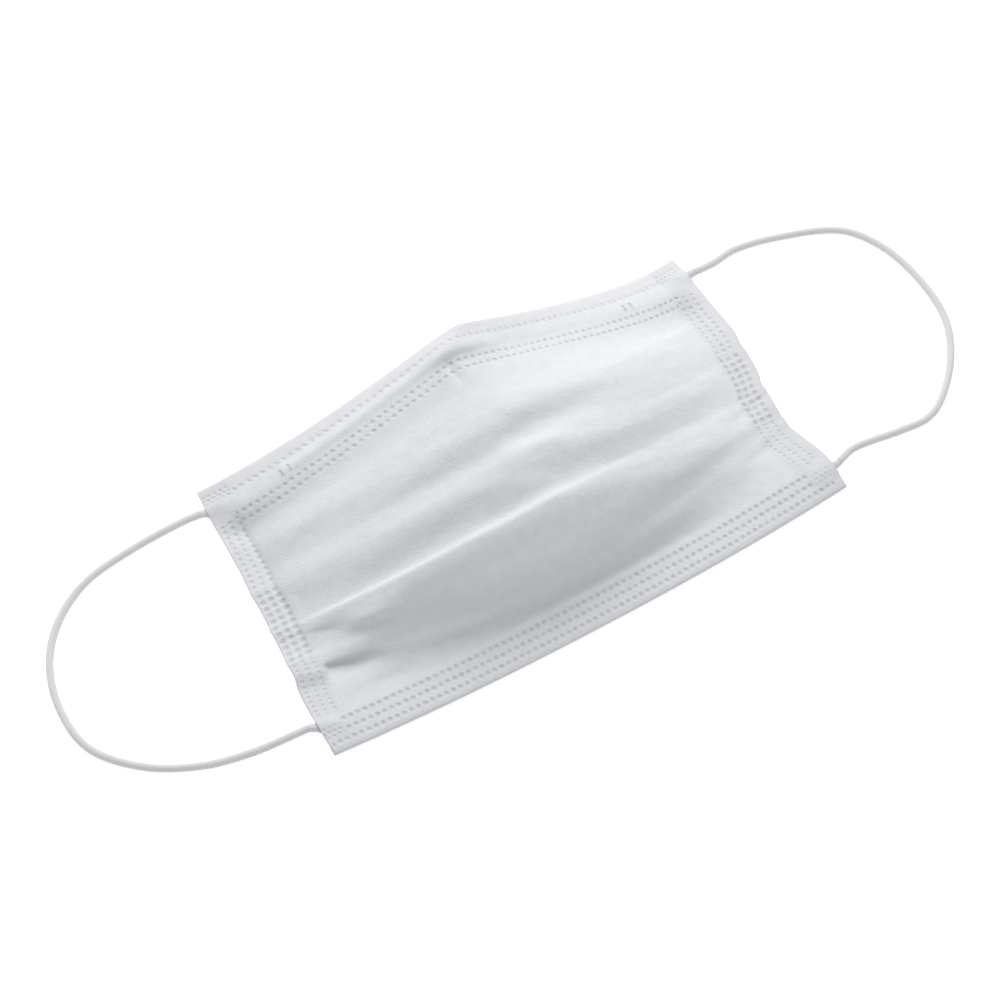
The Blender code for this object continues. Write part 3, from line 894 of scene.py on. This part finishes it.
# The rows of each roll: past the nose edge and out of the sheet, or past the chin edge and above the table
NOSE_ROLL = ((0.00042, -0.00062), (0.00050, -0.00038), (0.00036, -0.00012))
CHIN_ROLL = (
    (-0.00036, 0.00142), (-0.00050, 0.00112), (-0.00050, 0.00078), (-0.00034, 0.00050), (0.0, 0.00036),
)
ROLL_STEP = 0.0003


def add_wall(piece, thickness):
    """Gives a sheet its thickness, half on either side."""
    wall = piece.modifiers.new("wall", "SOLIDIFY")
    wall.thickness = thickness
    wall.offset = 0.0


def with_rolled_edges(points):
    """The outer ply goes round both long edges: rows that curl out and down are added to the sheet."""
    first = points[:, 0]
    outward = first - points[:, 1]
    outward /= np.linalg.norm(outward, axis=1)[:, None]
    upward = sheet_normals(points)[:, 0]
    nose = [first + outward * out + upward * up for out, up in NOSE_ROLL]
    chin = [points[:, -1] * (1.0, 1.0, 0.0) + (0.0, out, height) for out, height in CHIN_ROLL]
    return np.concatenate((np.stack(nose, axis=1), points, np.stack(chin, axis=1)), axis=1)


def with_rolled_maps(maps):
    """The rulers go on round the rolls, below zero past the edge that they count from."""
    wider = {}
    for name, table in maps.items():
        head = np.repeat(table[:, :1], len(NOSE_ROLL), axis=1)
        tail = np.repeat(table[:, -1:], len(CHIN_ROLL), axis=1)
        if name != "side":
            step = -ROLL_STEP if name == "chin" else ROLL_STEP
            head[:, :, 1] += np.arange(-len(NOSE_ROLL), 0) * step
            tail[:, :, 1] += np.arange(1, len(CHIN_ROLL) + 1) * step
        wider[name] = np.concatenate((head, table, tail), axis=1)
    return wider


panel_mesh = grid_mesh("cloth_panel", with_rolled_edges(sheet), with_rolled_maps(rulers))
panel = new_piece("cloth_panel", panel_mesh, panel_cloth)
add_wall(panel, PANEL_WALL)
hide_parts("panel")
print("panel faces:", len(panel.data.polygons))

# %% [markdown]
# ## Strips under the edges
# Along the nose and chin edges the outer ply is turned under, and the strip is welded to the panel from
# beneath. The strips are seen as the rolled edge, and from the inner side. The wire and the nose strip are
# laid out from the finished sheet itself: points at a depth below the edge, moved down along its normals.
# The chin strip lies flat.

# %% Points under the sheet
normals = sheet_normals(sheet)


def nearest_stations(t_values):
    return np.round(np.interp(t_values, stations, np.arange(len(stations)))).astype(int)


def below_edge(t_values, depths, offsets):
    """Points at depths below the nose edge, moved under the sheet by offsets[station, depth]."""
    result = np.empty((len(t_values), len(depths), 3))
    for number, station in enumerate(nearest_stations(t_values)):
        ruler = rulers["nose"][station, :, 1]
        for axis in range(3):
            spots = np.interp(depths, ruler, sheet[station, :, axis])
            leans = np.interp(depths, ruler, normals[station, :, axis])
            result[number, :, axis] = spots - leans * offsets[number]
    return result


def strip_maps(points):
    """The one ruler that plain cloth and the wire need: along the strip and across it."""
    run = np.repeat(run_lengths(points[:, 0])[:, None], points.shape[1], axis=1)
    return {"cloth": np.stack((run, lengths_down(points)), axis=2)}


strip_cloth = cloth_finish("plain non-woven", False)
print("made", strip_cloth.material.name)

# %% Nose wire
WIRE_THICKNESS = 0.0008
WIRE_GAP = 0.0001
WIRE_UNDER = PANEL_WALL / 2 + WIRE_GAP + WIRE_THICKNESS / 2
WIRE_STATIONS, WIRE_ROWS = 161, 7
WIRE_WHITE = (0.82, 0.82, 0.83)
WIRE_DULL = (0.74, 0.75, 0.77)


def wire_finish():
    """Soft white plastic over a metal core: satin, with faint lines from being drawn."""
    finish = Finish("coated wire", Roughness=0.42, Specular_IOR_Level=0.5)
    across, down = finish.flat_map("cloth")
    drawn = finish.noise(finish.joined(across * 0.02, down), size=0.0002)
    dull = finish.noise(finish.joined(across, down), size=0.004)
    finish.bumped(drawn * 0.00002)
    finish.feed("Roughness", dull * 0.2 + 0.32)
    finish.feed("Base Color", finish.mixed(dull * 0.3, WIRE_WHITE, WIRE_DULL))
    return finish


half_share = WIRE_LENGTH / 2 / HALF_WIDTH
wire_stations = np.linspace(-half_share, half_share, WIRE_STATIONS)
wire_depths = np.linspace(WIRE_DROP - WIRE_WIDTH / 2, WIRE_DROP + WIRE_WIDTH / 2, WIRE_ROWS)
wire_places = below_edge(wire_stations, wire_depths, np.full((WIRE_STATIONS, WIRE_ROWS), WIRE_UNDER))
wire_mesh = grid_mesh("channel_wire", wire_places, strip_maps(wire_places))
wire = new_piece("channel_wire", wire_mesh, wire_finish())
add_wall(wire, WIRE_THICKNESS)
round_edge = wire.modifiers.new("round edge", "BEVEL")
round_edge.width = 0.00025
round_edge.segments = 2
round_edge.profile = 0.5
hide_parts("nose_wire")
print("wire stations:", len(wire_stations))

# %% Strip under the nose edge
STRIP_WALL = 0.0005
HEM_DEPTH = 0.0165
CORNER_DEPTH = 0.0042
CORNER_REACH = 0.0125
INNER_T = 1.0 - CORNER_REACH / HALF_WIDTH
HEM_ROWS = 33
STRIP_STATIONS = 281
strip_t = np.linspace(-0.998, 0.998, STRIP_STATIONS)


def nose_strip_offsets(t_values, depths):
    """How far the strip is below the sheet: close to it, with a pocket for the wire."""
    closed = PANEL_WALL / 2 + 0.00005 + STRIP_WALL / 2
    pocket = WIRE_THICKNESS + 0.00015
    rise = (-half_share - 0.06, -half_share - 0.005)
    fall = (half_share + 0.005, half_share + 0.06)
    ends = plateau(rise, fall, t_values)
    aside = np.abs(depths - WIRE_DROP)
    beside = 1.0 - smoothstep(WIRE_WIDTH / 2 + 0.0002, WIRE_WIDTH / 2 + 0.0016, aside)
    return closed + pocket * ends[:, None] * beside[None, :]


def corner_share(t_values):
    """The strips are narrower in the corners, where the loop ends are welded on."""
    full = 1.0 - smoothstep(INNER_T - 0.01, INNER_T + 0.03, np.abs(t_values))
    return blend(CORNER_DEPTH / HEM_DEPTH, 1.0, full)


def nose_strip_places():
    """The strip at its full depth, with its rows drawn together in the corners."""
    depths = np.linspace(0.0002, HEM_DEPTH, HEM_ROWS)
    full = below_edge(strip_t, depths, nose_strip_offsets(strip_t, depths))
    last = HEM_ROWS - 1
    narrowed = np.clip(corner_share(strip_t)[:, None] * np.arange(HEM_ROWS)[None, :], 0.0, last)
    lower = np.floor(narrowed).astype(int)
    upper = np.minimum(lower + 1, last)
    part = (narrowed - lower)[:, :, None]
    picks = np.arange(STRIP_STATIONS)[:, None]
    return full[picks, lower] * (1.0 - part) + full[picks, upper] * part


top_places = nose_strip_places()
top_mesh = grid_mesh("nose_strip", top_places, strip_maps(top_places))
top_strip = new_piece("nose_strip", top_mesh, strip_cloth)
add_wall(top_strip, STRIP_WALL)
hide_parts("top_hem")
print("nose strip faces:", len(top_strip.data.polygons))

# %% Strip under the chin edge
CHIN_DEPTH = 0.0105
CHIN_STRIP_ROWS = 17


def chin_strip_places():
    """Rows that start under the chin edge and go in from it, flat on the table."""
    edge = sheet[nearest_stations(strip_t), -1]
    narrow = corner_share(strip_t)
    height = np.full_like(narrow, STRIP_WALL / 2)
    rows = []
    for depth in np.linspace(0.0001, CHIN_DEPTH, CHIN_STRIP_ROWS):
        deep = np.stack((np.zeros_like(narrow), depth * narrow, height), axis=1)
        rows.append(edge * (1.0, 1.0, 0.0) + deep)
    return np.stack(rows[::-1], axis=1)


chin_places = chin_strip_places()
chin_mesh = grid_mesh("chin_strip", chin_places, strip_maps(chin_places))
chin_strip = new_piece("chin_strip", chin_mesh, strip_cloth)
add_wall(chin_strip, STRIP_WALL)
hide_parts("bottom_hem")
print("chin strip faces:", len(chin_strip.data.polygons))

# %% [markdown]
# ## Table and light
# A white object on a white table is shown by its shadows alone, so one large soft lamp stands behind the
# nose edge, to the right, and the surroundings only fill. The table is white and glows softly, as a light
# table does, which keeps the cast shadows pale.

# %% Table
TABLE_REACH = 4.0
TABLE_DROP = 0.0002
TABLE_GLOW = 0.46
TABLE_WHITE = (0.93, 0.93, 0.93)
TABLE_GRAIN = (0.91, 0.91, 0.91)


def table_finish():
    finish = Finish("white table", Roughness=0.9, Specular_IOR_Level=0.1)
    grain = finish.noise(finish.place(), size=0.02, detail=3.0)
    finish.feed("Base Color", finish.mixed(grain * 0.2, TABLE_WHITE, TABLE_GRAIN))
    finish.feed("Emission Color", (1.0, 1.0, 1.0))
    finish.feed("Emission Strength", TABLE_GLOW)
    return finish


table_mesh = bpy.data.meshes.new("table")
table_grid = bmesh.new()
bmesh.ops.create_grid(table_grid, x_segments=2, y_segments=2, size=TABLE_REACH)
bmesh.ops.translate(table_grid, vec=(0.0, 0.0, -TABLE_DROP), verts=table_grid.verts)
table_grid.to_mesh(table_mesh)
table_grid.free()
table = in_scene("table", table_mesh)
table_mesh.materials.append(table_finish().material)
print("table ready")

# %% Lamps and surroundings
KEY_PLACE = (0.36, 0.84, 1.07)
KEY_SIZE = 0.9
KEY_POWER = 11.9
SKY_FROM = (0.31, 0.62, 0.72)
SKY_COLOUR = (0.97, 0.985, 1.0, 1.0)
# The surroundings go from darkest to brightest between these two cosines of the angle to the bright side
SKY_RANGE = (-0.7, 1.0)
SKY_DARKEST, SKY_BRIGHTEST = 0.31, 0.71

lamp_data = bpy.data.lights.new("soft key", "AREA")
lamp_data.shape = "SQUARE"
lamp_data.size = KEY_SIZE
lamp_data.energy = KEY_POWER
lamp = in_scene("soft key", lamp_data)
turn_towards(lamp, KEY_PLACE, (0.0, 0.0, 0.0))


def studio_world():
    """Soft surroundings, brightest above and behind the nose edge on the right."""
    world = bpy.data.worlds.new("studio")
    world.use_nodes = True
    nodes, links = world.node_tree.nodes, world.node_tree.links
    direction = nodes.new("ShaderNodeTexCoord")
    facing = nodes.new("ShaderNodeVectorMath")
    facing.operation = "DOT_PRODUCT"
    facing.inputs[1].default_value = SKY_FROM
    level = nodes.new("ShaderNodeMapRange")
    for number, value in enumerate((*SKY_RANGE, SKY_DARKEST, SKY_BRIGHTEST), start=1):
        level.inputs[number].default_value = value
    sky = nodes["Background"]
    sky.inputs["Color"].default_value = SKY_COLOUR
    links.new(direction.outputs["Generated"], facing.inputs[0])
    links.new(facing.outputs["Value"], level.inputs[0])
    links.new(level.outputs[0], sky.inputs["Strength"])
    return world


bpy.context.scene.world = studio_world()
bpy.context.scene.view_settings.view_transform = "Standard"
print("lights ready")
